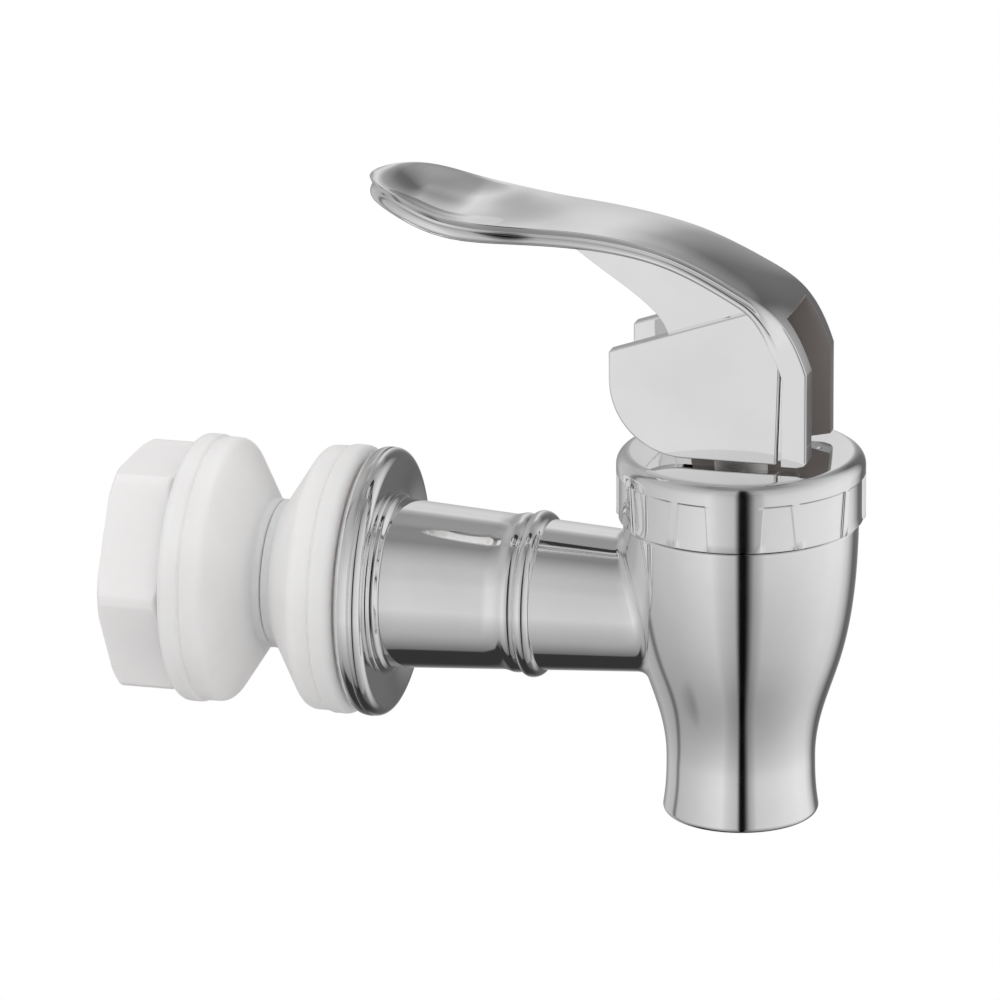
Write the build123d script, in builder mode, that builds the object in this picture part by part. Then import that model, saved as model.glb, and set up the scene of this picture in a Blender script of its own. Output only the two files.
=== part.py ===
from build123d import *
import os
from math import cos, radians, sin

# Beverage dispenser spigot with a push lever, a lifting valve and a hex lock nut.
# X runs along the shank, out of the container. Z is up. The origin is on the shank
# axis, in the middle of the container wall that the two gaskets clamp.
# Sizes are in millimetres. Heights are measured from the shank axis.

# Shank and flange
tap_reach = 58.4
bore_radius = 4.75
stud_radius = 7.94
stud_past_nut = 1.8
stud_lead_in = 0.8
flange_radius = 16.6
flange_rim = 2.2
flange_back_round = 1.9
flange_groove = 0.2
flange_front_round = 1.5
flange_dish = 0.6
collar_radius = 11.1
collar_height = 0.6
collar_foot = 0.45
shank_root_radius = 10.45
shank_end_radius = 8.65
bead_distance = 25.2
bead_half_width = 1.15
bead_height = 0.8
band_width = 2.0
band_height = 0.35
band_step = 0.15
junction_round = 1.1

# Bell and spout
spout_drop = 25.6
spout_lip_radius = 9.5
spout_waist_radius = 9.08
spout_waist_drop = 18.6
lip_round = 0.8
lip_lean = 0.1
spout_wall = 1.7
spout_bore_depth = 15.0
bell_foot_radius = 9.75
bell_foot_drop = 13.4
bell_foot_lean = 0.5
bell_belly_radius = 12.15
bell_belly_drop = 5.8
bell_shoulder_radius = 14.3
bell_shoulder_height = 11.75
bell_shoulder_lean = 0.02
seat_drop = 5.0
seat_hole_radius = 5.2
seat_lip = 0.6
neck_radius = 12.7
neck_height = 4.2
neck_wall = 2.4

# Bonnet
bonnet_radius = 14.88
bonnet_seam_gap = 0.25
bonnet_height = 8.4
bonnet_edge_round = 1.7
bonnet_top = 2.0
bonnet_band = 5.85
bonnet_pocket_radius = 9.4
grip_height = 0.22
grip_rib_angle = 4.0
grip_panel_angle = 27.0
grip_lean = 2.5
grip_turn = 13.5
grip_leans = (0, 1, -1, 0, 1, -1)

# Valve: seat cup, stem and spring
cup_flange = 0.7
cup_flange_inset = 0.4
cup_wall = 1.1
cup_sleeve_radius = 9.0
cup_sleeve_depth = 6.8
cup_throat_radius = 6.4
cup_throat_depth = 5.0
cup_foot_radius = 6.6
cup_foot_height = 2.6
cup_foot_edge = 0.5
cup_floor = 2.0
stem_radius = 3.2
stem_foot_height = 3.2
stem_foot_edge = 0.6
stem_collar_radius = 5.9
stem_collar_height = 1.2
stem_collar_depth = 9.4
pivot_rise = 6.2
pivot_pin_radius = 2.0
pivot_pin_engagement = 1.2
stem_head_radius = 3.7
spring_wire = 0.8
spring_mean_radius = 4.7
spring_turns = 4

# Lever: fork, web and thumb strap
lever_gap = 0.6
fork_width = 14.0
fork_slot = 10.0
fork_front = 14.7
fork_rear = 10.0
fork_corner_radius = 9.2
fork_front_height = 12.8
fork_slope = 19.0
web_width = 12.0
web_skin = 1.5
rear_flange = 3.35
rear_groove = 0.35
rear_groove_height = 14.0
rear_heel = 0.8
strap_rear_width = 14.7
strap_neck_width = 13.2
strap_slab = 1.4
strap_core = 1.4
strap_core_inset = 0.35
strap_flare_start = 0.7
strap_stations = 10
strap_shoulder_x = 4.0
strap_shoulder_taper = 0.07
strap_waist_reach = 8.0
pad_root_reach = 25.0
pad_root_flare = 1.3
pad_width = 17.2
pad_centre = 38.6
pad_length = 14.8
pad_dish = 0.8
pad_dish_reach = 38.0
pad_dish_drop = 0.9
pad_dish_tilt = 14.0
pad_dish_across = 17.0
pad_dish_along = 46.0
strap_overrun = 1.0
slot_roof_drop = 0.95
slot_roof_fall = 2.6

# Strap's top line, as places from the tap axis and the drop from each point to the next
lever_height = 30.85
pad_tip_lift = 0.45
pad_tip_lean = 0.05
pad_crest_reach = 41.5
pad_heel_reach = 35.0
pad_heel_drop = 1.85
strap_neck_reach = 27.0
strap_neck_drop = 0.8
strap_mid_reach = 16.5
strap_mid_drop = 0.6
strap_bend_reach = 7.0
strap_bend_drop = 1.75
strap_fall_x = 0.4
strap_fall_drop = 3.15
strap_knee_x = 6.1
strap_knee_drop = 3.85
strap_rear_drop = 7.15
strap_rear_lean = 0.32

# Web's front curve, from under the strap down to the fork, in the same terms
web_tip_reach = 21.5
web_tip_drop = 1.0
web_belly_reach = 17.4
web_belly_drop = 2.7
web_waist_reach = 11.5
web_waist_drop = 4.1
web_foot_reach = 7.5
web_front_fall = 0.5
web_foot_lean = 0.3

# Gaskets and nut
gasket_length = 11.1
gasket_rim = 3.0
gasket_step_drop = 0.25
gasket_step = 2.9
gasket_land_radius = 9.2
gasket_edge = 1.1
gasket_land = 1.1
gasket_round = 1.2
gasket_notch = 0.4
nut_flats = 27.4
nut_length = 8.0
nut_chamfer = 0.6

# Clearances
thread_clearance = 0.05
soft_clearance = 0.3
guide_clearance = 0.2
pivot_clearance = 0.05
face_clearance = 0.05

# Levels and places that follow from the sizes above
flange_back = gasket_length
flange_front = flange_back + flange_rim + flange_groove + flange_front_round
flange_face = flange_front - flange_dish
stud_end = -gasket_length - nut_length - stud_past_nut
bell_wall_x = tap_reach - bell_shoulder_radius
bead_x = tap_reach - bead_distance
neck_top = bell_shoulder_height + neck_height
chamber_radius = neck_radius - neck_wall
bonnet_bottom = bell_shoulder_height + bonnet_seam_gap
bonnet_top_height = bonnet_bottom + bonnet_height
bonnet_ceiling = bonnet_top_height - bonnet_top
cup_top = neck_top + face_clearance + cup_flange
cup_bottom = -seat_drop + face_clearance
lever_bottom = bonnet_top_height + lever_gap
fork_corner_x = -fork_front + fork_corner_radius
fork_corner_z = lever_bottom + fork_corner_radius
pivot_height = lever_bottom + pivot_rise
crest_z = lever_bottom + lever_height
heel_z = crest_z - pad_heel_drop
neck_z = heel_z - strap_neck_drop
mid_z = neck_z - strap_mid_drop
bend_z = mid_z - strap_bend_drop
fall_z = bend_z - strap_fall_drop
knee_z = fall_z - strap_knee_drop
rear_z = knee_z - strap_rear_drop
slot_roof_z = knee_z - slot_roof_drop
stem_collar_top = bonnet_ceiling - stem_collar_depth
stem_foot_bottom = cup_bottom + cup_floor + face_clearance
gasket_rim_radius = flange_radius
gasket_step_radius = gasket_rim_radius - gasket_step_drop

tap_plane = Plane(origin=(tap_reach, 0, 0), x_dir=(1, 0, 0), z_dir=(0, -1, 0))
tap_plan = Plane(origin=(tap_reach, 0, 0), x_dir=(1, 0, 0), z_dir=(0, 0, 1))
tap_axis = Axis((tap_reach, 0, 0), (0, 0, 1))

os.makedirs("parts", exist_ok=True)


def shank_radius(x):
    """Radius of the tapered shank at a distance x from the container wall."""
    share = (x - flange_front) / (bell_wall_x - flange_front)
    return shank_root_radius + (shank_end_radius - shank_root_radius) * share


def fork_top(x):
    """Height of the fork's sloping top edge at x, measured from the tap axis."""
    rise = (x + fork_front) * sin(radians(fork_slope)) / cos(radians(fork_slope))
    return lever_bottom + fork_front_height + rise


# Body: bell, spout, shank, flange and threaded stud in one moulding
with BuildPart() as body:
    with BuildSketch(tap_plane):
        with BuildLine():
            floor = Line((0, -spout_drop), (spout_lip_radius - lip_round, -spout_drop))
            lip = RadiusArc(floor @ 1, (spout_lip_radius, lip_round - spout_drop), -lip_round)
            spout = Spline(
                lip @ 1,
                (spout_waist_radius, -spout_waist_drop),
                (bell_foot_radius, -bell_foot_drop),
                tangents=[(-lip_lean, 1), (bell_foot_lean, 1)],
            )
            bell = Spline(
                spout @ 1,
                (bell_belly_radius, -bell_belly_drop),
                (bell_shoulder_radius, bell_shoulder_height),
                tangents=[(bell_foot_lean, 1), (bell_shoulder_lean, 1)],
            )
            Polyline(
                bell @ 1,
                (neck_radius, bell_shoulder_height),
                (neck_radius, neck_top),
                (0, neck_top),
                (0, -spout_drop),
            )
        make_face()
    revolve(axis=tap_axis)
    with BuildSketch(Plane.XZ):
        with BuildLine():
            stud = Polyline(
                (tap_reach, 0),
                (stud_end, 0),
                (stud_end, stud_radius - stud_lead_in),
                (stud_end + stud_lead_in, stud_radius),
                (flange_back, stud_radius),
                (flange_back, flange_radius - flange_back_round),
            )
            back_round = RadiusArc(
                stud @ 1, (flange_back + flange_back_round, flange_radius), flange_back_round
            )
            groove_x = flange_back + flange_rim
            groove = Polyline(
                back_round @ 1,
                (groove_x, flange_radius),
                (groove_x, flange_radius - flange_groove),
                (groove_x + flange_groove, flange_radius - flange_groove),
            )
            front_round = RadiusArc(
                groove @ 1,
                (flange_front, flange_radius - flange_groove - flange_front_round),
                flange_front_round,
            )
            face = Polyline(
                front_round @ 1,
                (flange_face, collar_radius),
                (flange_face + collar_height, collar_radius),
            )
            root_x = flange_face + collar_height + collar_foot
            collar = RadiusArc(face @ 1, (root_x, shank_radius(root_x)), 2 * collar_height)
            band_x = bead_x - bead_half_width - band_width
            taper = Line(collar @ 1, (band_x, shank_radius(band_x)))
            bead_start = bead_x - bead_half_width
            bead_end = bead_x + bead_half_width
            band = ThreePointArc(
                taper @ 1,
                (band_x + band_width / 2, shank_radius(band_x + band_width / 2) + band_height),
                (bead_start, shank_radius(bead_start) + band_step),
            )
            bead = ThreePointArc(
                band @ 1,
                (bead_x, shank_radius(bead_x) + bead_height),
                (bead_end, shank_radius(bead_end)),
            )
            Polyline(bead @ 1, (tap_reach, shank_radius(tap_reach)), (tap_reach, 0))
        make_face()
    revolve(axis=Axis.X)
    # Round where the shank runs into the bell
    seam = body.edges().filter_by(lambda edge: edge.geom_type not in (GeomType.LINE, GeomType.CIRCLE))
    fillet(seam.filter_by_position(Axis.X, bell_wall_x, tap_reach), radius=junction_round)
    # Chamber, valve seat with its raised lip, and spout bore
    with BuildSketch(tap_plane):
        with BuildLine():
            Polyline(
                (0, neck_top),
                (chamber_radius, neck_top),
                (chamber_radius, -seat_drop - seat_lip),
                (seat_hole_radius + 2 * seat_lip, -seat_drop - seat_lip),
                (seat_hole_radius + seat_lip, -seat_drop),
                (seat_hole_radius, -seat_drop),
                (seat_hole_radius, -spout_drop + spout_bore_depth),
                (spout_waist_radius - spout_wall, -spout_drop + spout_bore_depth),
                (spout_waist_radius - spout_wall, -spout_drop),
                (0, -spout_drop),
                close=True,
            )
        make_face()
    revolve(axis=tap_axis, mode=Mode.SUBTRACT)
    # Inlet bore through stud and shank
    with BuildSketch(Plane.YZ.offset(stud_end)):
        Circle(bore_radius)
    extrude(amount=tap_reach - stud_end, mode=Mode.SUBTRACT)
body.part.label = "body"
export_step(body.part, "parts/body.step")

# Grips on the bonnet's lower band: narrow ribs, with one broad panel front and back
grip_number = 2 * len(grip_leans)
with BuildPart() as grips:
    for index in range(grip_number):
        turn = radians(grip_turn - 90 + index * 360 / grip_number)
        broad = index % len(grip_leans) == 0
        half = radians(grip_panel_angle if broad else grip_rib_angle) / 2 * bonnet_radius
        lean = radians(grip_lean) / 2 * bonnet_radius
        shift = grip_leans[index % len(grip_leans)] * lean
        narrow = lean if broad else 0
        out = (cos(turn), sin(turn), 0)
        across = (-sin(turn), cos(turn), 0)
        with BuildSketch(Plane(origin=(tap_reach, 0, bonnet_bottom), x_dir=across, z_dir=out)):
            with BuildLine():
                Polyline(
                    (shift + narrow - half, 0),
                    (shift - narrow + half, 0),
                    (half - shift, bonnet_band),
                    (-half - shift, bonnet_band),
                    close=True,
                )
            make_face()
        extrude(amount=2 * bonnet_radius)
    with BuildSketch(tap_plan.offset(bonnet_bottom)):
        Circle(bonnet_radius + grip_height)
        Circle(bonnet_radius - 2 * grip_height, mode=Mode.SUBTRACT)
    extrude(amount=bonnet_band, mode=Mode.INTERSECT)

# Bonnet: screw cap over the body's neck, with the stem hole in its top
with BuildPart() as bonnet:
    with BuildSketch(tap_plane):
        with BuildLine():
            band_top = bonnet_bottom + bonnet_band
            under = Polyline(
                (stem_radius + guide_clearance, bonnet_ceiling),
                (bonnet_pocket_radius, bonnet_ceiling),
                (bonnet_pocket_radius, cup_top + soft_clearance),
                (neck_radius + thread_clearance, cup_top + soft_clearance),
                (neck_radius + thread_clearance, bonnet_bottom),
                (bonnet_radius, bonnet_bottom),
                (bonnet_radius, band_top),
                (bonnet_radius + grip_height, band_top),
                (bonnet_radius + grip_height, bonnet_top_height - bonnet_edge_round),
            )
            edge = RadiusArc(
                under @ 1,
                (bonnet_radius + grip_height - bonnet_edge_round, bonnet_top_height),
                -bonnet_edge_round,
            )
            Polyline(
                edge @ 1,
                (stem_radius + guide_clearance, bonnet_top_height),
                (stem_radius + guide_clearance, bonnet_ceiling),
            )
        make_face()
    revolve(axis=tap_axis)
    add(grips.part)
bonnet.part.label = "bonnet"
export_step(bonnet.part, "parts/bonnet.step")

# Seat cup: soft cup that closes the valve seat and seals under the bonnet
cup_throat_top = cup_top - cup_flange - cup_sleeve_depth
cup_throat_bottom = cup_throat_top - cup_throat_depth
cup_rim_radius = neck_radius - cup_flange_inset
with BuildPart() as seat_cup:
    with BuildSketch(tap_plane):
        with BuildLine():
            Polyline(
                (0, cup_bottom),
                (cup_foot_radius - cup_foot_edge, cup_bottom),
                (cup_foot_radius, cup_bottom + cup_foot_edge),
                (cup_foot_radius, cup_bottom + cup_foot_height),
                (cup_throat_radius, cup_bottom + cup_foot_height + cup_foot_edge),
                (cup_throat_radius, cup_throat_bottom),
                (cup_sleeve_radius, cup_throat_top),
                (cup_sleeve_radius, cup_top - cup_flange),
                (cup_rim_radius, cup_top - cup_flange),
                (cup_rim_radius, cup_top),
                (cup_sleeve_radius - cup_wall, cup_top),
                (cup_sleeve_radius - cup_wall, cup_throat_top),
                (cup_throat_radius - cup_wall, cup_throat_bottom),
                (cup_throat_radius - cup_wall, cup_bottom + cup_floor),
                (0, cup_bottom + cup_floor),
                close=True,
            )
        make_face()
    revolve(axis=tap_axis)
seat_cup.part.label = "seat_cup"
export_step(seat_cup.part, "parts/seat_cup.step")

# Stem: foot in the cup, spring collar, rod through the bonnet and a cross pin on top
stem_foot_radius = cup_throat_radius - cup_wall - soft_clearance
pin_reach = fork_slot / 2 + pivot_pin_engagement - face_clearance
with BuildPart() as stem:
    with BuildSketch(tap_plane):
        with BuildLine():
            Polyline(
                (0, stem_foot_bottom),
                (stem_foot_radius - stem_foot_edge, stem_foot_bottom),
                (stem_foot_radius, stem_foot_bottom + stem_foot_edge),
                (stem_foot_radius, stem_foot_bottom + stem_foot_height),
                (stem_radius, stem_foot_bottom + stem_foot_height + stem_foot_edge),
                (stem_radius, stem_collar_top - stem_collar_height),
                (stem_collar_radius, stem_collar_top - stem_collar_height),
                (stem_collar_radius, stem_collar_top),
                (stem_radius, stem_collar_top),
                (stem_radius, pivot_height),
                (0, pivot_height),
                close=True,
            )
        make_face()
    revolve(axis=tap_axis)
    with BuildSketch(tap_plane.offset(-(fork_slot / 2 - guide_clearance))):
        with Locations((0, pivot_height)):
            Circle(stem_head_radius)
    extrude(amount=fork_slot - 2 * guide_clearance)
    with BuildSketch(tap_plane.offset(-pin_reach)):
        with Locations((0, pivot_height)):
            Circle(pivot_pin_radius)
    extrude(amount=2 * pin_reach)
stem.part.label = "stem"
export_step(stem.part, "parts/stem.step")

# Spring: coil between the stem's collar and the bonnet's ceiling
spring_bottom = stem_collar_top + spring_wire / 2 + face_clearance
spring_top = bonnet_ceiling - spring_wire / 2 - face_clearance
spring_pitch = (spring_top - spring_bottom) / spring_turns
with BuildPart() as spring:
    with BuildLine(Plane(origin=(tap_reach, 0, spring_bottom))):
        coil = Helix(pitch=spring_pitch, height=spring_top - spring_bottom, radius=spring_mean_radius)
    with BuildSketch(Plane(origin=coil @ 0, z_dir=coil % 0)):
        Circle(spring_wire / 2)
    sweep(path=coil)
spring.part.label = "spring"
export_step(spring.part, "parts/spring.step")


def strap_blank(depth, rear_depth):
    """Side outline of the strap: its top line, and the same line set in by depth, or by
    rear_depth at the rear."""
    tip_x = -pad_centre - pad_length / 2 - strap_overrun
    top = Spline(
        (tip_x, crest_z + pad_tip_lift),
        (-pad_crest_reach, crest_z),
        (-pad_heel_reach, heel_z),
        (-strap_neck_reach, neck_z),
        (-strap_mid_reach, mid_z),
        (-strap_bend_reach, bend_z),
        (strap_fall_x, fall_z),
        (strap_knee_x, knee_z),
        (fork_rear, rear_z),
        tangents=[(1, pad_tip_lean), (strap_rear_lean, -1)],
    )
    inner = []
    for station in range(strap_stations, -1, -1):
        share = station / strap_stations
        flare = max(0, share - strap_flare_start) / (1 - strap_flare_start)
        run = top % share
        set_in = depth + (rear_depth - depth) * flare ** 2
        inner.append(top @ share + Vector(run.Y, -run.X) * set_in)
    under = Spline(*inner)
    Polyline(
        top @ 1,
        (fork_rear, lever_bottom + rear_heel),
        (fork_rear - rear_heel, lever_bottom),
        (inner[0].X, lever_bottom),
        under @ 0,
    )
    Line(under @ 1, top @ 0)


def strap_plan(inset):
    """Plan outline of the strap: rounded thumb pad, narrow neck and wide rear."""
    pad = pad_width / 2 - inset
    neck = strap_neck_width / 2 - inset
    rear = strap_rear_width / 2 - inset
    tip = -pad_centre - pad_length / 2 + inset
    half = [
        (fork_rear + strap_overrun, rear),
        (strap_shoulder_x, rear - strap_shoulder_taper),
        (-strap_waist_reach, neck),
        (-pad_root_reach, neck + pad_root_flare),
        (-pad_centre, pad),
    ]
    near = [(x, -y) for x, y in half]
    outline = Spline(*near, (tip, 0), *reversed(half))
    Line(outline @ 1, outline @ 0)


# Strap: a thin slab with a slightly narrower core under it
with BuildPart() as strap:
    with BuildSketch(tap_plane):
        with BuildLine():
            strap_blank(strap_slab, rear_flange)
        make_face()
    extrude(amount=pad_width, both=True)
    with BuildSketch(tap_plan):
        with BuildLine():
            strap_plan(0)
        make_face()
    extrude(amount=3 * pivot_height, mode=Mode.INTERSECT)

with BuildPart() as strap_under:
    with BuildSketch(tap_plane):
        with BuildLine():
            strap_blank(strap_slab + strap_core, strap_slab + strap_core)
        make_face()
    extrude(amount=pad_width, both=True)
    with BuildSketch(tap_plan):
        with BuildLine():
            strap_plan(strap_core_inset)
        make_face()
    extrude(amount=3 * pivot_height, mode=Mode.INTERSECT)

# Lever: strap, web and fork, hollow between the cheeks and open behind
with BuildPart() as lever:
    add(strap.part)
    add(strap_under.part)
    with BuildSketch(tap_plane):
        with BuildLine():
            web = Spline(
                (-web_tip_reach, mid_z - web_tip_drop),
                (-web_belly_reach, mid_z - web_tip_drop - web_belly_drop),
                (-web_waist_reach, mid_z - web_tip_drop - web_belly_drop - web_waist_drop),
                (-web_foot_reach, fork_top(-web_foot_reach)),
                tangents=[(1, -web_front_fall), (web_foot_lean, -1)],
            )
            Polyline(
                web @ 1,
                (strap_slab - web_foot_reach, fork_top(-fork_front)),
                (fork_rear - strap_slab, fork_corner_z),
                (fork_rear - strap_slab, rear_z),
                (strap_knee_x - strap_slab, knee_z - strap_slab),
                (strap_fall_x - strap_slab, fall_z - strap_slab),
                (-strap_bend_reach, bend_z - strap_slab),
                (-strap_mid_reach, mid_z - strap_slab),
                web @ 0,
            )
        make_face()
    extrude(amount=web_width / 2, both=True)
    with BuildSketch(tap_plane):
        with BuildLine():
            flat = Line((fork_rear - strap_slab, lever_bottom), (fork_corner_x, lever_bottom))
            corner = RadiusArc(flat @ 1, (-fork_front, fork_corner_z), fork_corner_radius)
            Polyline(
                corner @ 1,
                (-fork_front, fork_top(-fork_front)),
                (strap_knee_x - strap_slab, fork_top(strap_knee_x - strap_slab)),
                (fork_rear - strap_slab, rear_z),
                flat @ 0,
            )
        make_face()
    extrude(amount=fork_width / 2, both=True)
    # Dish in the thumb pad, rounder across than along
    lean = Vector(sin(radians(pad_dish_tilt)), 0, cos(radians(pad_dish_tilt)))
    dish_centre = Vector(tap_reach - pad_dish_reach, 0, crest_z - pad_dish_drop)
    with BuildSketch(Plane(origin=dish_centre, x_dir=(0, 1, 0), z_dir=(lean.Z, 0, -lean.X))):
        with Locations((0, pad_dish_across - pad_dish)):
            Circle(pad_dish_across)
    hub = dish_centre + lean * (pad_dish_along - pad_dish)
    revolve(axis=Axis(tuple(hub), (0, 1, 0)), mode=Mode.SUBTRACT)
    # Slot between the cheeks: open in front, below and behind, roofed by the strap
    with BuildSketch(tap_plane):
        with BuildLine():
            mouth_top = fork_top(-fork_front) + web_skin / 2
            mouth_back = web_skin - web_foot_reach
            Polyline(
                (-2 * fork_front, 0),
                (-2 * fork_front, mouth_top),
                (-web_foot_reach, mouth_top),
                (-web_foot_reach, fork_top(-fork_front)),
                (mouth_back, fork_top(-fork_front)),
                (mouth_back, slot_roof_z - slot_roof_fall),
                (0, slot_roof_z),
                (2 * fork_rear, slot_roof_z),
                (2 * fork_rear, 0),
                close=True,
            )
        make_face()
    extrude(amount=fork_slot / 2, both=True, mode=Mode.SUBTRACT)
    # Groove between each cheek and the strap's rear flange
    for side in (-1, 1):
        with BuildSketch(tap_plane.offset(side * (fork_width / 2 - rear_groove))):
            with Locations((fork_rear - rear_flange, lever_bottom)):
                Rectangle(rear_groove, rear_groove_height, align=(Align.MAX, Align.MIN))
        extrude(amount=side * 2 * rear_groove, mode=Mode.SUBTRACT)
    # Blind sockets that snap over the stem's cross pin
    socket_reach = fork_slot / 2 + pivot_pin_engagement
    with BuildSketch(tap_plane.offset(-socket_reach)):
        with Locations((0, pivot_height)):
            Circle(pivot_pin_radius + pivot_clearance)
    extrude(amount=2 * socket_reach, mode=Mode.SUBTRACT)
lever.part.label = "lever"
export_step(lever.part, "parts/lever.step")


def gasket(side):
    """Silicone gasket on one side of the wall: land, cone, round shoulder and rim disc."""
    inner = stud_radius + soft_clearance
    rim_start = gasket_length - gasket_rim
    step_start = rim_start - gasket_step
    seat = gasket_length - face_clearance
    with BuildPart() as ring:
        with BuildSketch(Plane.XZ):
            with BuildLine():
                cone = Polyline(
                    (side * seat, inner),
                    (side * face_clearance, inner),
                    (side * face_clearance, gasket_land_radius),
                    (side * gasket_land, gasket_land_radius),
                    (side * step_start, gasket_step_radius - gasket_edge),
                )
                shoulder = RadiusArc(
                    cone @ 1,
                    (side * (step_start + gasket_edge), gasket_step_radius),
                    side * gasket_edge,
                )
                disc = Polyline(
                    shoulder @ 1,
                    (side * rim_start, gasket_step_radius),
                    (side * rim_start, gasket_rim_radius - gasket_notch),
                    (side * (rim_start + gasket_notch), gasket_rim_radius),
                    (side * (seat - gasket_round), gasket_rim_radius),
                )
                last = RadiusArc(
                    disc @ 1,
                    (side * seat, gasket_rim_radius - gasket_round),
                    side * gasket_round,
                )
                Line(last @ 1, cone @ 0)
            make_face()
        revolve(axis=Axis.X)
    return ring.part


# Gaskets: one seats on the flange, its twin on the lock nut
outer_gasket = gasket(1)
outer_gasket.label = "outer_gasket"
export_step(outer_gasket, "parts/outer_gasket.step")
inner_gasket = gasket(-1)
inner_gasket.label = "inner_gasket"
export_step(inner_gasket, "parts/inner_gasket.step")

# Lock nut: hexagon with corners to the sides, chamfered at both faces
with BuildPart() as lock_nut:
    with BuildSketch(Plane.YZ.offset(-gasket_length - nut_length)):
        RegularPolygon(nut_flats / 2, 6, major_radius=False, rotation=0)
    extrude(amount=nut_length)
    with BuildSketch(Plane.XZ):
        with BuildLine():
            corner_radius = nut_flats / 2 / cos(radians(30))
            Polyline(
                (-gasket_length, 0),
                (-gasket_length, corner_radius - nut_chamfer),
                (-gasket_length - nut_chamfer, corner_radius),
                (-gasket_length - nut_length + nut_chamfer, corner_radius),
                (-gasket_length - nut_length, corner_radius - nut_chamfer),
                (-gasket_length - nut_length, 0),
                close=True,
            )
        make_face()
    revolve(axis=Axis.X, mode=Mode.INTERSECT)
    with BuildSketch(Plane.YZ.offset(-gasket_length - nut_length)):
        Circle(stud_radius + thread_clearance)
    extrude(amount=nut_length, mode=Mode.SUBTRACT)
lock_nut.part.label = "lock_nut"
export_step(lock_nut.part, "parts/lock_nut.step")
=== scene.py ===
from math import cos, pi, radians, sin, sqrt, tan

import bmesh
import bpy
import numpy as np
from mathutils import Matrix, Vector


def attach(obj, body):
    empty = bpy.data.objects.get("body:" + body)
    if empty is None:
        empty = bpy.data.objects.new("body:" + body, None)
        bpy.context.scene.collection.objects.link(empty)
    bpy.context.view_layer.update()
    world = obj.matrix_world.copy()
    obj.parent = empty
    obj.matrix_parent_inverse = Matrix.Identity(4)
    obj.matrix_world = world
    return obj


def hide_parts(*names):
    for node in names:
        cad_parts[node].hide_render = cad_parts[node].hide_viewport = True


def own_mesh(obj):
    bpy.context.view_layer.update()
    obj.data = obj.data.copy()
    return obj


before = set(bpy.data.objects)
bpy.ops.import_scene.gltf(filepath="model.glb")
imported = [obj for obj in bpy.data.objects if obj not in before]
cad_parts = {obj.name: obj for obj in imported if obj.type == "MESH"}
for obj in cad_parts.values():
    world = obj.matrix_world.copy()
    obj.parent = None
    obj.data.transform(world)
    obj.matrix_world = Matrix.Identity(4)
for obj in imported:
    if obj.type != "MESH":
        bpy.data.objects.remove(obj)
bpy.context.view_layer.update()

# Push-lever spigot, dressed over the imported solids. Shapes are in millimetres in the
# row frame and become metres in add_piece. X runs along the shank and Z is up.
# A profile is a line of (radius, place, corner radius), or (place, radius, corner radius)
# along the shank.
scene = bpy.context.scene
MM = 0.001

# Tap axis, bell and spout: sizes, then lines of (radius, height)
TAP = 58.4
SPOUT_END = -25.6
SPOUT_RADIUS = 9.5
SPOUT_BORE_TOP = -20.0
SHOULDER_RADIUS = 14.3
SHOULDER_Z = 11.75
SPOUT_LINE = [(9.5, -24.9), (9.14, -21.6), (9.08, -18.6)]
BELL_LINE = [(9.08, -18.6), (9.75, -13.4), (12.15, -5.8), (SHOULDER_RADIUS, SHOULDER_Z)]
NECK_RADIUS = 12.7
NECK_TOP = 15.95
CHAMBER_RADIUS = 10.3
CHAMBER_FLOOR = -5.6
SPOUT_BORE = 7.38
SEAT_HOLE = 5.2
SEAT_TOP = -5.0
SEAT_BOTTOM = -10.6

# Shank, flange and stud
STUD_END = -20.9
STUD_RADIUS = 7.94
INLET_BORE = 4.75
THREAD_PITCH = 2.0
THREAD_DEPTH = 0.75
THREAD_STEPS = 16
FLANGE_BACK = 11.1
FLANGE_RADIUS = 16.6
FLANGE_FRONT = 15.0
SHANK_ROOT = 10.45
SHANK_END = 8.65
SHANK_LENGTH = TAP - SHOULDER_RADIUS - FLANGE_FRONT
SHANK_LAST_RING = 42.6
STEP_X = 30.0
STEP_LENGTH = 2.05
BEAD_X = 33.2
BEAD_HALF = 1.12
BEAD_HEIGHT = 0.86
JUNCTION_FILLET = 1.1

# Bonnet
BONNET_BOTTOM = 12.0
BONNET_TOP = 20.4
BONNET_BAND = 17.85
BONNET_RADIUS = 14.8
GRIP = 0.3
GRIP_LEANS = (0, 1, -1, 0, 1, -1)
GRIP_TURN = 10.5
SKIRT_RADIUS = 14.55
STEM_PASSAGE = 3.4
CEILING_RADIUS = 9.4
CEILING_Z = 18.4
SEAL_Z = 17.0
SEAL_RADIUS = 12.75

# Lever
LEVER_BOTTOM = 21.0
PIVOT_Z = 27.2
STRAP_LINE = [
    (-47.0, 52.3), (-41.5, 51.85), (-35.0, 50.0), (-27.0, 49.2), (-16.5, 48.6),
    (-7.0, 46.85), (0.4, 43.7), (6.1, 39.85), (10.0, 32.7),
]
STRAP_PLAN = [(10.0, 7.35), (4.0, 7.28), (-8.0, 6.6), (-25.0, 7.9), (-38.6, 8.6)]
STRAP_HALF = 7.35
STRAP_REAR = 10.0
STRAP_DEPTH = 2.78
STRAP_TIP = -46.0
SLOT_HALF = 5.0
SLOT_TOP = 38.9
FORK_HALF = 7.0
FORK_FRONT = -14.7
FORK_TOP = 33.8
FORK_SLOPE = 19.0
FORK_CORNER = 9.2
FOOT_CHAMFER = 0.8
FOOT_ROW = 0.72
WALL_STEP = 0.03

# Stem, spring and gaskets
FOOT_RADIUS = 5.0
STEM_RADIUS = 3.2
COLLAR_RADIUS = 5.9
EYE_RADIUS = 3.7
PIN_RADIUS = 2.0
GASKET_BORE = 8.24
GASKET_RADIUS = 16.6
GASKET_BACK = 11.05

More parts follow.
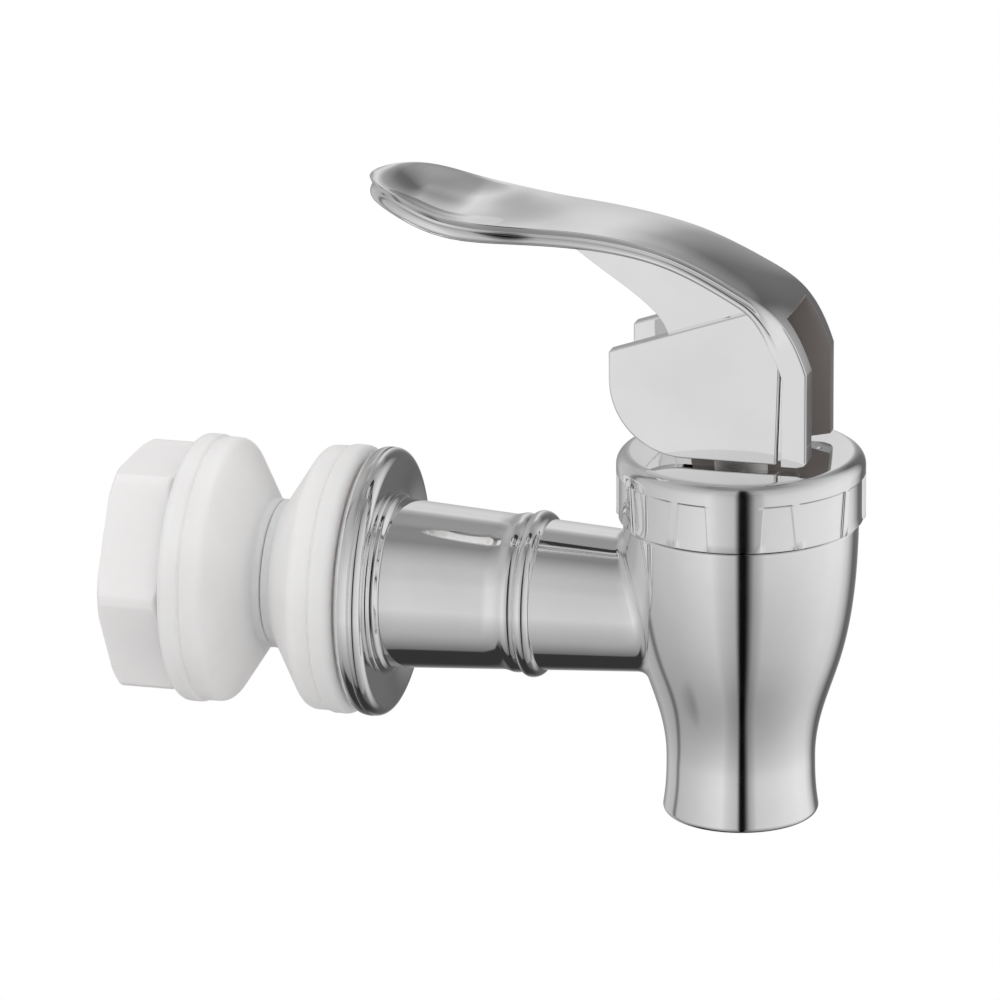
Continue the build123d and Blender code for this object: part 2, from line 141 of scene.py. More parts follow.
# Mesh: columns round a turned piece, cells across each rear flange and the slot
COLUMNS = 192
SIDE_CELLS = 5
SLOT_CELLS = 12


# Lines and grids

def smooth_line(points, step, first=None, last=None):
    """Points about step apart on a smooth curve through the given ones."""
    p = np.array(points, float)
    h = np.linalg.norm(np.diff(p, axis=0), axis=1)
    n = len(p)
    rise = np.diff(p, axis=0) / h[:, None]
    a = np.zeros((n, n))
    b = np.zeros_like(p)
    for i in range(1, n - 1):
        a[i, i - 1:i + 2] = h[i], 2 * (h[i - 1] + h[i]), h[i - 1]
        b[i] = 3 * (h[i] * rise[i - 1] + h[i - 1] * rise[i])
    for i, j, end in ((0, 1, first), (n - 1, n - 2, last)):
        a[i, i] = 1 if end else 2
        a[i, j] = 0 if end else 1
        b[i] = np.array(end) / np.linalg.norm(end) if end else 3 * rise[min(i, n - 2)]
    m = np.linalg.solve(a, b)
    out = []
    for i in range(n - 1):
        count = max(2, int(np.ceil(h[i] / step)))
        for k in range(count):
            t = k / count
            out.append(
                (2 * t**3 - 3 * t**2 + 1) * p[i] + (t**3 - 2 * t**2 + t) * h[i] * m[i]
                + (3 * t**2 - 2 * t**3) * p[i + 1] + (t**3 - t**2) * h[i] * m[i + 1]
            )
    out.append(p[-1])
    return [tuple(q) for q in out]


def rounded(corners, steps=5):
    """An open line through corners (u, v, radius), with each inner corner rounded."""
    out = [corners[0][:2]]
    for before, corner, after in zip(corners, corners[1:], corners[2:]):
        p = Vector(corner[:2])
        a = Vector(before[:2]) - p
        b = Vector(after[:2]) - p
        if corner[2] == 0:
            out.append(tuple(p))
            continue
        half = a.angle(b) / 2
        shares = [0.97 * corner[2] / (corner[2] + near[2]) for near in (before, after)]
        cut = min(corner[2] / tan(half), shares[0] * a.length, shares[1] * b.length)
        centre = p + (a.normalized() + b.normalized()).normalized() * cut / cos(half)
        v0 = p + a.normalized() * cut - centre
        v1 = p + b.normalized() * cut - centre
        turn = pi - 2 * half
        for k in range(steps + 1):
            t = k / steps
            out.append(tuple(centre + (v0 * sin((1 - t) * turn) + v1 * sin(t * turn)) / sin(turn)))
    out.append(corners[-1][:2])
    return out


def ease(low, high, value):
    """Smooth step from 0 at low to 1 at high."""
    t = min(max((value - low) / (high - low), 0.0), 1.0)
    return t * t * (3 - 2 * t)


def grid_faces(rows, columns, start=0, wrap=True, close=False):
    """Quads of a grid of points stored row by row."""
    faces = []
    for i in range(rows if close else rows - 1):
        for j in range(columns if wrap else columns - 1):
            k = (j + 1) % columns
            a = start + i * columns
            b = start + (i + 1) % rows * columns
            faces.append((a + j, a + k, b + k, b + j))
    return faces


def turned(profile, axis, columns=COLUMNS):
    """Points of a profile (radius, place) turned about X, about the tap's Z axis or its Y pin."""
    points = []
    for r, h in profile:
        for j in range(columns):
            c, s = cos(2 * pi * j / columns), sin(2 * pi * j / columns)
            points.append({
                "X": (h, r * c, r * s),
                "Z": (TAP + r * c, r * s, h),
                "Y": (TAP + r * s, h, PIVOT_Z + r * c),
            }[axis])
    return points


def add_piece(name, points, faces, material, body, slot, nodes=(), sharp=33, bevel=0.0):
    """A smooth-shaded mesh piece that rides on a body and takes the given material. The slot is not used."""
    mesh = bpy.data.meshes.new(name)
    mesh.from_pydata([[c * MM for c in p] for p in points], [], faces)
    work = bmesh.new()
    work.from_mesh(mesh)
    bmesh.ops.remove_doubles(work, verts=work.verts, dist=2e-7)
    bmesh.ops.dissolve_degenerate(work, edges=work.edges, dist=1e-7)
    bmesh.ops.recalc_face_normals(work, faces=work.faces)
    work.to_mesh(mesh)
    work.free()
    mesh.shade_smooth()
    mesh.set_sharp_from_angle(angle=radians(sharp))
    mesh.materials.append(material)
    obj = bpy.data.objects.new(name, mesh)
    scene.collection.objects.link(obj)
    if bevel:
        edge = obj.modifiers.new("edge", "BEVEL")
        edge.width = bevel * MM
        edge.segments = 3
        edge.limit_method = "ANGLE"
        edge.angle_limit = radians(38)
        edge.use_clamp_overlap = True
        edge.harden_normals = True
    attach(obj, body)
    if nodes:
        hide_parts(*nodes)
    return obj


# Materials

def material(name):
    """A new material with its node tree, Principled shader and object coordinates."""
    mat = bpy.data.materials.new(name)
    mat.use_nodes = True
    tree = mat.node_tree
    place = tree.nodes.new("ShaderNodeTexCoord")
    return mat, tree, tree.nodes["Principled BSDF"], place.outputs["Object"]


def noise(tree, place, scale, detail=3.0, stretch=(1, 1, 1)):
    """Noise over object coordinates, with scale in waves per metre."""
    mapping = tree.nodes.new("ShaderNodeMapping")
    mapping.inputs["Scale"].default_value = stretch
    texture = tree.nodes.new("ShaderNodeTexNoise")
    texture.inputs["Scale"].default_value = scale
    texture.inputs["Detail"].default_value = detail
    tree.links.new(place, mapping.inputs["Vector"])
    tree.links.new(mapping.outputs["Vector"], texture.inputs["Vector"])
    return texture.outputs["Fac"]


def ramp(tree, value, stops):
    """Colour ramp from stops of (place, grey or colour)."""
    node = tree.nodes.new("ShaderNodeValToRGB")
    elements = node.color_ramp.elements
    while len(elements) < len(stops):
        elements.new(0.5)
    for element, (at, colour) in zip(elements, stops):
        element.position = at
        shade = (colour,) * 3 if isinstance(colour, (int, float)) else colour
        element.color = (*shade, 1)
    tree.links.new(value, node.inputs["Fac"])
    return node.outputs["Color"]


def bump(tree, shader, value, strength, distance):
    """Bump from a value, distance in metres."""
    node = tree.nodes.new("ShaderNodeBump")
    node.inputs["Strength"].default_value = strength
    node.inputs["Distance"].default_value = distance
    tree.links.new(value, node.inputs["Height"])
    tree.links.new(node.outputs["Normal"], shader.inputs["Normal"])


def chrome_material(name, inside=None):
    """Plated chrome: a clean mirror with faint flow marks, and thin dull plating inside a box in mm."""
    mat, tree, shader, place = material(name)
    shader.inputs["Metallic"].default_value = 1.0
    tint = ramp(tree, noise(tree, place, 90), [(0.3, (0.88, 0.88, 0.88)), (0.7, (0.95, 0.95, 0.95))])
    rough = ramp(tree, noise(tree, place, 260, 5), [(0.35, 0.04), (0.75, 0.08)])
    bump(tree, shader, noise(tree, place, 150, 2), 0.12, 0.00004)
    if inside:
        parts = tree.nodes.new("ShaderNodeSeparateXYZ")
        tree.links.new(place, parts.inputs["Vector"])
        share = None
        for axis, low, high in inside:
            middle, half = (low + high) / 2 * MM, (high - low) / 2 * MM
            away = tree.nodes.new("ShaderNodeMath")
            away.operation = "COMPARE"
            away.inputs[1].default_value = middle
            away.inputs[2].default_value = half
            tree.links.new(parts.outputs[axis], away.inputs[0])
            if share:
                both = tree.nodes.new("ShaderNodeMath")
                both.operation = "MULTIPLY"
                tree.links.new(share, both.inputs[0])
                tree.links.new(away.outputs["Value"], both.inputs[1])
                share = both.outputs["Value"]
            else:
                share = away.outputs["Value"]
        tint = blended(tree, share, tint, (0.33, 0.295, 0.285, 1))
        rough = blended(tree, share, rough, (0.45, 0.45, 0.45, 1))
        metal = ramp(tree, share, [(0.0, 1.0), (1.0, 0.3)])
        tree.links.new(metal, shader.inputs["Metallic"])
    tree.links.new(tint, shader.inputs["Base Color"])
    tree.links.new(rough, shader.inputs["Roughness"])
    return mat


def blended(tree, share, colour, other):
    """A colour socket mixed with a constant colour by a share."""
    node = tree.nodes.new("ShaderNodeMix")
    node.data_type = "RGBA"
    tree.links.new(share, node.inputs[0])
    tree.links.new(colour, node.inputs[6])
    node.inputs[7].default_value = other
    return node.outputs[2]


def moulded_material(name, dark, light, roughness, subsurface, depth, waves, grain):
    """Milky moulded plastic or silicone, cloudy inside, with a fine skin."""
    mat, tree, shader, place = material(name)
    cloud = ramp(tree, noise(tree, place, 120, 4), [(0.3, dark), (0.7, light)])
    tree.links.new(cloud, shader.inputs["Base Color"])
    rough = ramp(tree, noise(tree, place, 700, 4), [(0.3, roughness - 0.015), (0.7, roughness + 0.02)])
    tree.links.new(rough, shader.inputs["Roughness"])
    shader.inputs["IOR"].default_value = 1.45
    shader.inputs["Subsurface Weight"].default_value = subsurface
    shader.inputs["Subsurface Radius"].default_value = (1.0, 0.92, 0.88)
    shader.inputs["Subsurface Scale"].default_value = depth
    bump(tree, shader, noise(tree, place, waves, 2), 0.25, grain)
    return mat


def steel_material():
    """Drawn spring wire with fine lengthwise marks."""
    mat, tree, shader, place = material("spring_wire")
    shader.inputs["Metallic"].default_value = 1.0
    tint = ramp(tree, noise(tree, place, 900, 4), [(0.3, (0.42, 0.41, 0.40)), (0.7, (0.58, 0.57, 0.55))])
    tree.links.new(tint, shader.inputs["Base Color"])
    rough = ramp(tree, noise(tree, place, 2500, 5), [(0.3, 0.22), (0.7, 0.4)])
    tree.links.new(rough, shader.inputs["Roughness"])
    bump(tree, shader, noise(tree, place, 2500, 3), 0.3, 0.00002)
    return mat


CHROME = chrome_material("chrome_plate")
SLOT_BOX = (("X", TAP - 7.4, TAP + 12.0), ("Y", -5.06, 5.06), ("Z", 20.0, SLOT_TOP + 0.05))
SLOTTED_CHROME = chrome_material("chrome_plate_slotted", inside=SLOT_BOX)
NUT_PLASTIC = moulded_material(
    "milky_plastic", (0.84, 0.82, 0.82), (0.87, 0.855, 0.85), 0.30, 0.45, 0.004, 180, 0.00004)
STEM_PLASTIC = moulded_material(
    "white_plastic", (0.76, 0.76, 0.75), (0.82, 0.82, 0.81), 0.34, 0.15, 0.002, 900, 0.00002)
SILICONE = moulded_material(
    "milky_silicone", (0.81, 0.795, 0.79), (0.85, 0.84, 0.835), 0.38, 0.6, 0.006, 220, 0.00004)
STEEL = steel_material()


# Bell, spout and chamber

bell_line = smooth_line(BELL_LINE, 0.45, first=(0.0, 1.0), last=(0.02, 1.0))
spout_line = smooth_line(SPOUT_LINE, 0.45, first=(-0.16, 1), last=(0, 1))
bell_r = np.array([p[0] for p in spout_line[:-1] + bell_line])
bell_z = np.array([p[1] for p in spout_line[:-1] + bell_line])


def bell_radius(z):
    """Outer radius of the bell at a height."""
    return float(np.interp(z, bell_z, bell_r))


def shank_radius(x):
    """Outer radius of the tapered shank."""
    return SHANK_ROOT + (SHANK_END - SHANK_ROOT) * (x - FLANGE_FRONT) / SHANK_LENGTH


def make_bell():
    """Bell, spout and neck as one turned shell, open where shank and bore pass through."""
    lip = rounded(
        [(SPOUT_BORE, SPOUT_BORE_TOP, 0), (SPOUT_BORE, SPOUT_END, 0.35), (SPOUT_RADIUS, SPOUT_END, 0.7),
         spout_line[0] + (0,)], 6)
    top = rounded(
        [bell_line[-2] + (0,), (SHOULDER_RADIUS, SHOULDER_Z, 0.3), (NECK_RADIUS, SHOULDER_Z, 0.2),
         (NECK_RADIUS, NECK_TOP, 0.3), (CHAMBER_RADIUS, NECK_TOP, 0.3), (CHAMBER_RADIUS, CHAMBER_FLOOR, 0.5),
         (6.4, CHAMBER_FLOOR, 0.2), (5.8, SEAT_TOP, 0.15), (SEAT_HOLE, SEAT_TOP, 0.2),
         (SEAT_HOLE, SEAT_BOTTOM, 0.3), (SPOUT_BORE, SEAT_BOTTOM, 0.4), (SPOUT_BORE, SPOUT_BORE_TOP, 0)])
    profile = lip + spout_line[1:-1] + bell_line[:-2] + top
    points = turned(profile, "Z")
    kept = []
    for face in grid_faces(len(profile), COLUMNS):
        x, y, z = np.mean([points[v] for v in face], axis=0)
        reach = sqrt(y * y + z * z)
        out = sqrt((x - TAP) ** 2 + y * y)
        inside_shank = x < TAP and reach < shank_radius(x) - 0.7 and out > CHAMBER_RADIUS + 1
        inside_bore = x < TAP and reach < INLET_BORE + 0.2 and abs(out - CHAMBER_RADIUS) < 0.2
        if not (inside_shank or inside_bore):
            kept.append(face)
    return add_piece("tap_bell", points, kept, CHROME, "tap_body", "chrome", ["body"])


def junction(angle):
    """Where the shank's surface meets the bell's, for one angle round the shank."""
    x = 45.0
    for _ in range(12):
        y, z = shank_radius(x) * cos(angle), shank_radius(x) * sin(angle)
        x = TAP - sqrt(bell_radius(z) ** 2 - y * y)
    return x


def make_shank():
    """Bored stud with its thread, flange, collar, tapered shank with bead, and a fillet at the bell."""
    rows = []

    def ring(x, r):
        rows.append([(x, r, a) for a in range(COLUMNS)])

    for x in (46.9, 30.0, 0.0):
        ring(x, INLET_BORE)
    ring(STUD_END + 0.3, INLET_BORE)
    ring(STUD_END, INLET_BORE + 0.3)
    step = THREAD_PITCH / THREAD_STEPS
    count = int((0.5 - STUD_END) / step)
    for i in range(count + 1):
        x = STUD_END + i * step
        row = []
        for a in range(COLUMNS):
            wave = (x / THREAD_PITCH + a / COLUMNS) % 1
            tooth = ease(0.08, 0.36, abs(wave - 0.5))
            r = STUD_RADIUS - THREAD_DEPTH * (1 - tooth) * ease(0.5, -1.5, x)
            lead_in = STUD_RADIUS - 0.75 + (x - STUD_END) * 0.9
            row.append((x, min(r, lead_in), a))
        rows.append(row)
    back = rounded(
        [(1.0, STUD_RADIUS, 0), (FLANGE_BACK, STUD_RADIUS, 0.3), (FLANGE_BACK, FLANGE_RADIUS, 1.9),
         (13.3, FLANGE_RADIUS, 0.12), (13.36, 16.46, 0.05), (13.44, 16.46, 0.05), (13.5, 16.56, 0.12),
         (FLANGE_FRONT + 0.03, 16.5, 1.4), (14.42, 11.8, 0.5), (14.4, 11.15, 0.25), (15.0, 11.1, 0.42),
         (15.4, 10.42, 0.4), (17.6, shank_radius(17.6), 0)], 9)
    for x, r in back:
        ring(x, r)
    for x in np.linspace(19.5, 29.6, 8):
        ring(x, shank_radius(x))
    for k in range(1, 8):
        x = STEP_X + STEP_LENGTH * k / 8
        ring(x, shank_radius(x) + 0.15 * k / 8 + 0.28 * sin(pi * k / 8) ** 0.8)
    for k in range(0, 13):
        turn = pi * k / 12
        x = BEAD_X - BEAD_HALF * cos(turn)
        ring(x, shank_radius(x) + 0.12 * (1 + cos(turn)) / 2 + BEAD_HEIGHT * sin(turn))
    for x in np.linspace(34.9, SHANK_LAST_RING, 6):
        ring(x, shank_radius(x))
    points = []
    for row in rows:
        for x, r, a in row:
            turn = 2 * pi * a / COLUMNS
            points.append((x, r * cos(turn), r * sin(turn)))
    ends = []
    for a in range(COLUMNS):
        turn = 2 * pi * a / COLUMNS
        x = junction(turn)
        out = Vector((0, cos(turn), sin(turn)))
        meet = Vector((x, 0, 0)) + out * shank_radius(x)
        foot_x = x - JUNCTION_FILLET
        foot = Vector((foot_x, 0, 0)) + out * shank_radius(foot_x)
        slope = (bell_radius(meet.z + 0.2) - bell_radius(meet.z - 0.2)) / 0.4
        away = Vector((meet.x - TAP, meet.y, 0)).normalized()
        normal = (away - Vector((0, 0, slope))).normalized()
        along = (out - normal * out.dot(normal)).normalized()
        landing = meet + along * JUNCTION_FILLET
        flat = Vector((landing.x - TAP, landing.y, 0)).normalized() * (bell_radius(landing.z) - 0.015)
        landing = Vector((TAP + flat.x, flat.y, landing.z))
        ends.append((foot_x, out, foot, meet, landing))
    for k in range(1, 4):
        for foot_x, out, _, _, _ in ends:
            x = SHANK_LAST_RING + (foot_x - SHANK_LAST_RING) * k / 3
            points.append(tuple(Vector((x, 0, 0)) + out * shank_radius(x)))
    for k in range(1, 9):
        t = k / 8
        for _, _, foot, meet, landing in ends:
            points.append(tuple(foot * (1 - t) ** 2 + meet * 2 * t * (1 - t) + landing * t * t))
    faces = grid_faces(len(points) // COLUMNS, COLUMNS)
    return add_piece("threaded_shank", points, faces, CHROME, "tap_body", "chrome")


make_bell()
make_shank()


# Bonnet

def bonnet_columns():
    """Columns round the bonnet as (angle at the bottom, angle at the band's top, rib height share)."""
    marks = []
    count = 2 * len(GRIP_LEANS)
    for index in range(count):
        lean = GRIP_LEANS[index % len(GRIP_LEANS)] * 1.25
        broad = index % len(GRIP_LEANS) == 0
        half = 13.5 if broad else 2.0
        foot = half - (1.25 if broad else 0)
        centre = GRIP_TURN - 90 + index * 360 / count
        marks.append((centre + lean - foot, centre - lean - half, 1))
        marks.append((centre + lean + foot, centre - lean + half, -1))
    columns = []
    again = (marks[0][0] + 360, marks[0][1] + 360, 0)
    for (low, high, side), (low2, high2, _) in zip(marks, marks[1:] + [again]):
        for share, offset in ((0.0, -0.4), (0.16, -0.2), (0.5, 0.0), (0.84, 0.2), (1.0, 0.4)):
            columns.append((low + offset, high + offset, share if side > 0 else 1 - share))
        steps = max(2, round((high2 - high) / 2.2))
        for k in range(1, steps):
            t = k / steps
            columns.append((low + 0.4 + (low2 - low - 0.8) * t, high + 0.4 + (high2 - high - 0.8) * t,
                            1.0 if side > 0 else 0.0))
    return columns


def make_bonnet():
    """Screw cap with slanted ribs, a broad panel front and back, a plain rim and a round top edge."""
    full = BONNET_RADIUS + GRIP
    outer = [(SKIRT_RADIUS, BONNET_BOTTOM, 0), (14.72, 12.03, 0.3), (14.83, 12.12, 0.7)]
    outer += [(BONNET_RADIUS, 12.28, 1)]
    outer += [(BONNET_RADIUS, z, 1) for z in (13.2, 14.3, 15.4, 16.4, 17.2, 17.55)]
    outer += [(BONNET_RADIUS + GRIP * share, z, 1 - share) for z, share in
              ((17.64, 0.0), (17.70, 0.12), (17.76, 0.45), (17.82, 0.85), (17.88, 1.0))]
    cap = rounded(
        [(full, 17.95, 0), (full, BONNET_TOP, 1.7), (STEM_PASSAGE, BONNET_TOP, 0.35),
         (STEM_PASSAGE, CEILING_Z, 0.15), (CEILING_RADIUS, CEILING_Z, 0.3), (CEILING_RADIUS, SEAL_Z, 0.2),
         (SEAL_RADIUS, SEAL_Z, 0.2), (SEAL_RADIUS, BONNET_BOTTOM, 0.2), (SKIRT_RADIUS, BONNET_BOTTOM, 0)], 9)
    columns = bonnet_columns()
    points = []
    for r, z, share in outer + [(r, z, 0) for r, z in cap[:-1]]:
        level = min(max((z - BONNET_BOTTOM) / (BONNET_BAND - BONNET_BOTTOM), 0), 1)
        for low, high, raised in columns:
            turn = radians(low + (high - low) * level)
            reach = r + GRIP * share * raised
            points.append((TAP + reach * cos(turn), reach * sin(turn), z))
    rows = len(points) // len(columns)
    faces = grid_faces(rows, len(columns), close=True)
    return add_piece("ribbed_bonnet", points, faces, CHROME, "tap_body", "chrome", ["bonnet"], sharp=40)


make_bonnet()


# Lever

def extruded(outline, low, high):
    """Points and faces of a side outline (x from the tap axis, z) extruded from y low to high."""
    points = [(TAP + x, low, z) for x, z in outline] + [(TAP + x, high, z) for x, z in outline]
    n = len(outline)
    faces = [tuple(range(n)), tuple(reversed(range(n, 2 * n)))]
    faces += [(i, (i + 1) % n, n + (i + 1) % n, n + i) for i in range(n)]
    return points, faces


def merged(parts):
    """Several (points, faces) as one."""
    points, faces = [], []
    for part_points, part_faces in parts:
        faces += [tuple(v + len(points) for v in f) for f in part_faces]
        points += part_points
    return points, faces


def fork_top(x):
    """Height of the fork's sloping top edge."""
    return FORK_TOP + (x - FORK_FRONT) * tan(radians(FORK_SLOPE))


strap_line = smooth_line(STRAP_LINE, 0.4, first=(1, 0.05), last=(0.32, -1))
strap_line = [p for p in strap_line if p[0] > STRAP_TIP - 0.35] + [(STRAP_REAR, LEVER_BOTTOM)]
strap_x = np.array([p[0] for p in strap_line])
strap_z = np.array([p[1] for p in strap_line])
strap_s = np.concatenate([[0], np.cumsum(np.hypot(np.diff(strap_x), np.diff(strap_z)))])
strap_turn = np.unwrap(np.arctan2(np.diff(strap_z), np.diff(strap_x)))
strap_mid = (strap_s[1:] + strap_s[:-1]) / 2
KINK_S = strap_s[-2]
END_S = strap_s[-1]


def strap_place(s, y, depth):
    """Row-frame point at a length s along the strap's top line, y across and depth below it."""
    x = np.interp(s, strap_s, strap_x)
    z = np.interp(s, strap_s, strap_z)
    turn = np.interp(s, strap_mid, strap_turn)
    x += depth * sin(turn)
    z -= depth * cos(turn)
    if s > END_S - 0.001:
        z = LEVER_BOTTOM + max(0.0, FOOT_CHAMFER - depth)
    return (TAP + x, y, z)


def strap_x_at(s):
    """Distance from the tap axis along X at a length s."""
    return float(np.interp(s, strap_s, strap_x))


def strap_crown(s):
    """How far the top falls from the middle to its edges."""
    x = strap_x_at(s)
    return 0.10 + 0.35 * ease(-34.0, -22.0, x) + 0.15 * ease(-20.0, -8.0, x) - 0.35 * ease(1.0, 8.5, x)


def strap_dish(s, share):
    """Depth of the thumb dish at a share of the half width, with a rim all round."""
    x = strap_x_at(s)
    along = ease(STRAP_TIP + 0.3, -39.5, x) * (1 - ease(-35.0, -19.5, x))
    return 1.6 * along * (1 - share ** 2) ** 1.1


def strap_depths(s):
    """Edge profile at s, top to bottom, as (inset, depth): top slab leaning in, then a round bead."""
    x = strap_x_at(s)
    rear = ease(3.0, 8.5, x) if s < KINK_S else 1.0
    top = strap_crown(s)
    slab = 1.02 + (2.1 - 1.02) * rear
    lean = 0.42 * (1 - rear)
    round_off = 1 - rear
    bead = STRAP_DEPTH + 0.55 * rear - top - slab
    return [
        (0.20, top), (0.10, top + 0.01), (0.035, top + 0.04), (0.0, top + 0.10),
        (0.22 * lean, top + 0.32), (0.58 * lean, top + 0.1 + 0.55 * (slab - 0.1)),
        (0.92 * lean, top + slab - 0.12), (1.08 * lean, top + slab - 0.04),
        (1.12 * lean, top + slab + 0.03), (0.8 * lean, top + slab + 0.07 * bead),
        (0.45 * lean, top + slab + 0.20 * bead), (0.22 * lean, top + slab + 0.36 * bead),
        (0.14 * lean, top + slab + 0.52 * bead), (0.27 * lean, top + slab + 0.68 * bead),
        (0.65 * lean, top + slab + 0.83 * bead), (0.52 * round_off, top + slab + 0.94 * bead),
        (0.9 * round_off + 0.04, top + slab + bead),
    ]


def strap_stations():
    """Stations (s, half width) from the foot of the rear flanges to the tip, and the slot's start."""
    outline = smooth_line(STRAP_PLAN + [(STRAP_TIP, 0.0)], 0.4, first=(-1, 0), last=(0, -1))
    stations = [(float(np.interp(x, strap_x[:-1], strap_s[:-1])), y) for x, y in outline]
    tail = [(END_S, STRAP_HALF), (END_S - FOOT_ROW, STRAP_HALF)]
    tail += [(KINK_S + t * (END_S - KINK_S), STRAP_HALF) for t in (0.8, 0.5, 0.2)]
    tail += [(KINK_S + 0.05, STRAP_HALF)]
    stations = tail + [(min(s, KINK_S - 0.02), y) for s, y in stations]
    slot_s = float(np.interp(-SLOT_TOP, -strap_z[strap_z < 42], strap_s[strap_z < 42]))
    stations = [p for p in stations if abs(p[0] - slot_s) > 0.12]
    at = sum(1 for p in stations if p[0] > slot_s)
    lengths, widths = zip(*stations[::-1])
    stations.insert(at, (slot_s, float(np.interp(slot_s, lengths, widths))))
    return stations, slot_s


def strap_inward(stations, j):
    """Direction in plan from the edge at station j to the strap's inside."""
    if j == len(stations) - 1:
        return Vector((1, 0))
    before, after = stations[max(j - 1, 0)], stations[j + 1]
    run = Vector((after[0] - before[0], after[1] - before[1])).normalized()
    inward = Vector((-run.y, run.x))
    return -inward if inward.y > 0 else inward


def strap_row(stations, j, slotted):
    """Points of the section at station j: the two edges, the top and the underside."""
    s, half = stations[j]
    inward = strap_inward(stations, j)
    edge = []
    for inset, depth in strap_depths(s):
        place = min(s + inward.x * inset, END_S) if s < END_S - 0.001 else END_S
        edge.append((place, max(half + inward.y * inset, 0.0), depth))
    row = {
        "near": [strap_place(place, -y, depth) for place, y, depth in edge],
        "far": [strap_place(place, y, depth) for place, y, depth in edge],
    }
    for key, (place, y_edge, depth) in (("top", edge[0]), ("under", edge[-1])):
        split = SLOT_HALF if slotted else 0.7 * y_edge
        side = [split + (y_edge - split) * k / SIDE_CELLS for k in range(SIDE_CELLS, -1, -1)]
        middle = [-split + 2 * split * k / SLOT_CELLS for k in range(1, SLOT_CELLS)]
        row[key] = []
        for y in [-y for y in side] + middle + side[::-1]:
            share = min(abs(y) / y_edge, 1.0) if y_edge > 0.01 else 1.0
            level = depth * share ** 2.2 + strap_dish(s, share) if key == "top" else depth
            row[key].append(strap_place(place, y, level))
    return row


def strap_faces(index, slotted):
    """Faces between the sections, with the slot left open and its walls, roof and feet closed."""
    first_slot, last_slot = SIDE_CELLS, SIDE_CELLS + SLOT_CELLS
    cells = SLOT_CELLS + 2 * SIDE_CELLS
    faces = []
    for j, (a, b) in enumerate(zip(index, index[1:])):
        for key in ("near", "far"):
            for i in range(len(a[key]) - 1):
                faces.append((a[key][i], a[key][i + 1], b[key][i + 1], b[key][i]))
        cut = slotted[j] and slotted[j + 1]
        for i in range(cells):
            if cut and first_slot <= i < last_slot:
                continue
            faces.append((a["top"][i], a["top"][i + 1], b["top"][i + 1], b["top"][i]))
            faces.append((a["under"][i], b["under"][i], b["under"][i + 1], a["under"][i + 1]))
        if cut:
            for i in (first_slot, last_slot):
                faces.append((a["top"][i], b["top"][i], b["under"][i], a["under"][i]))
        if slotted[j] and not slotted[j + 1]:
            for i in range(first_slot, last_slot):
                faces.append((a["top"][i], a["top"][i + 1], a["under"][i + 1], a["under"][i]))
    end = index[0]
    faces.append(tuple(end["near"]) + tuple(end["under"][1:first_slot + 1])
                 + tuple(end["top"][first_slot:0:-1]))
    faces.append(tuple(end["far"]) + tuple(end["under"][cells - 1:last_slot - 1:-1])
                 + tuple(end["top"][last_slot:cells]))
    return faces


def make_strap():
    """Thumb pad, arched strap and the two rear flanges beside the slot, as one closed shell."""
    stations, slot_s = strap_stations()
    slotted = [s >= slot_s - 1e-6 for s, _ in stations]
    points, index = [], []
    for j in range(len(stations)):
        row = strap_row(stations, j, slotted[j])
        entry = {}
        for key in ("near", "far", "top", "under"):
            entry[key] = list(range(len(points), len(points) + len(row[key])))
            points += row[key]
        index.append(entry)
    return points, strap_faces(index, slotted)


def make_fork():
    """Two cheeks with a rounded lower front corner, and the plate behind each rear groove."""
    arc = [
        (FORK_FRONT + FORK_CORNER * (1 - sin(t)), LEVER_BOTTOM + FORK_CORNER * (1 - cos(t)))
        for t in np.linspace(0, pi / 2, 17)
    ]
    cheek = [(6.0, LEVER_BOTTOM)] + arc
    cheek += [(FORK_FRONT, FORK_TOP), (4.2, fork_top(4.2)), (5.9, 36.6), (6.42, 33.4)]
    plate = [(3.4, LEVER_BOTTOM + 0.3), (3.4, 38.4), (5.6, 38.2), (6.4, 37.4), (7.6, 35.2), (8.7, 32.7),
             (8.7, LEVER_BOTTOM + 0.3)]
    parts = []
    for side in (-1, 1):
        cheek_span = sorted((side * (SLOT_HALF + WALL_STEP), side * FORK_HALF))
        plate_span = sorted((side * (SLOT_HALF + 2 * WALL_STEP), side * (FORK_HALF - 0.6)))
        parts.append(extruded(cheek, *cheek_span))
        parts.append(extruded(plate, *plate_span))
    return merged(parts)


def make_web():
    """Web between fork and strap, with its curved front edge."""
    curve = smooth_line([(-21.5, 47.6), (-17.4, 44.9), (-11.5, 40.8), (-7.5, 36.1)], 0.6,
                        first=(1, -0.5), last=(0.3, -1))
    outline = curve + [(-7.2, 34.4), (-6.0, 34.4), (-6.0, 36.3), (0.0, SLOT_TOP), (5.2, SLOT_TOP)]
    for x in (5.4, 3.6, 1.8, 0.0, -2.0, -4.0, -6.0, -8.5, -11.0, -13.5, -16.0, -18.5):
        x, _, z = strap_place(float(np.interp(x, strap_x[:-1], strap_s[:-1])), 0.0, 2.0)
        outline.append((x - TAP, z))
    return extruded(outline, -6.0, 6.0)


add_piece("lever_strap", *make_strap(), SLOTTED_CHROME, "push_lever", "chrome", ["lever"], bevel=0.1)
add_piece("lever_fork", *make_fork(), SLOTTED_CHROME, "push_lever", "chrome", ["lever"], sharp=30, bevel=0.28)
add_piece("lever_web", *make_web(), SLOTTED_CHROME, "push_lever", "chrome", ["lever"], sharp=30, bevel=0.35)


# Valve: stem, spring and seat cup

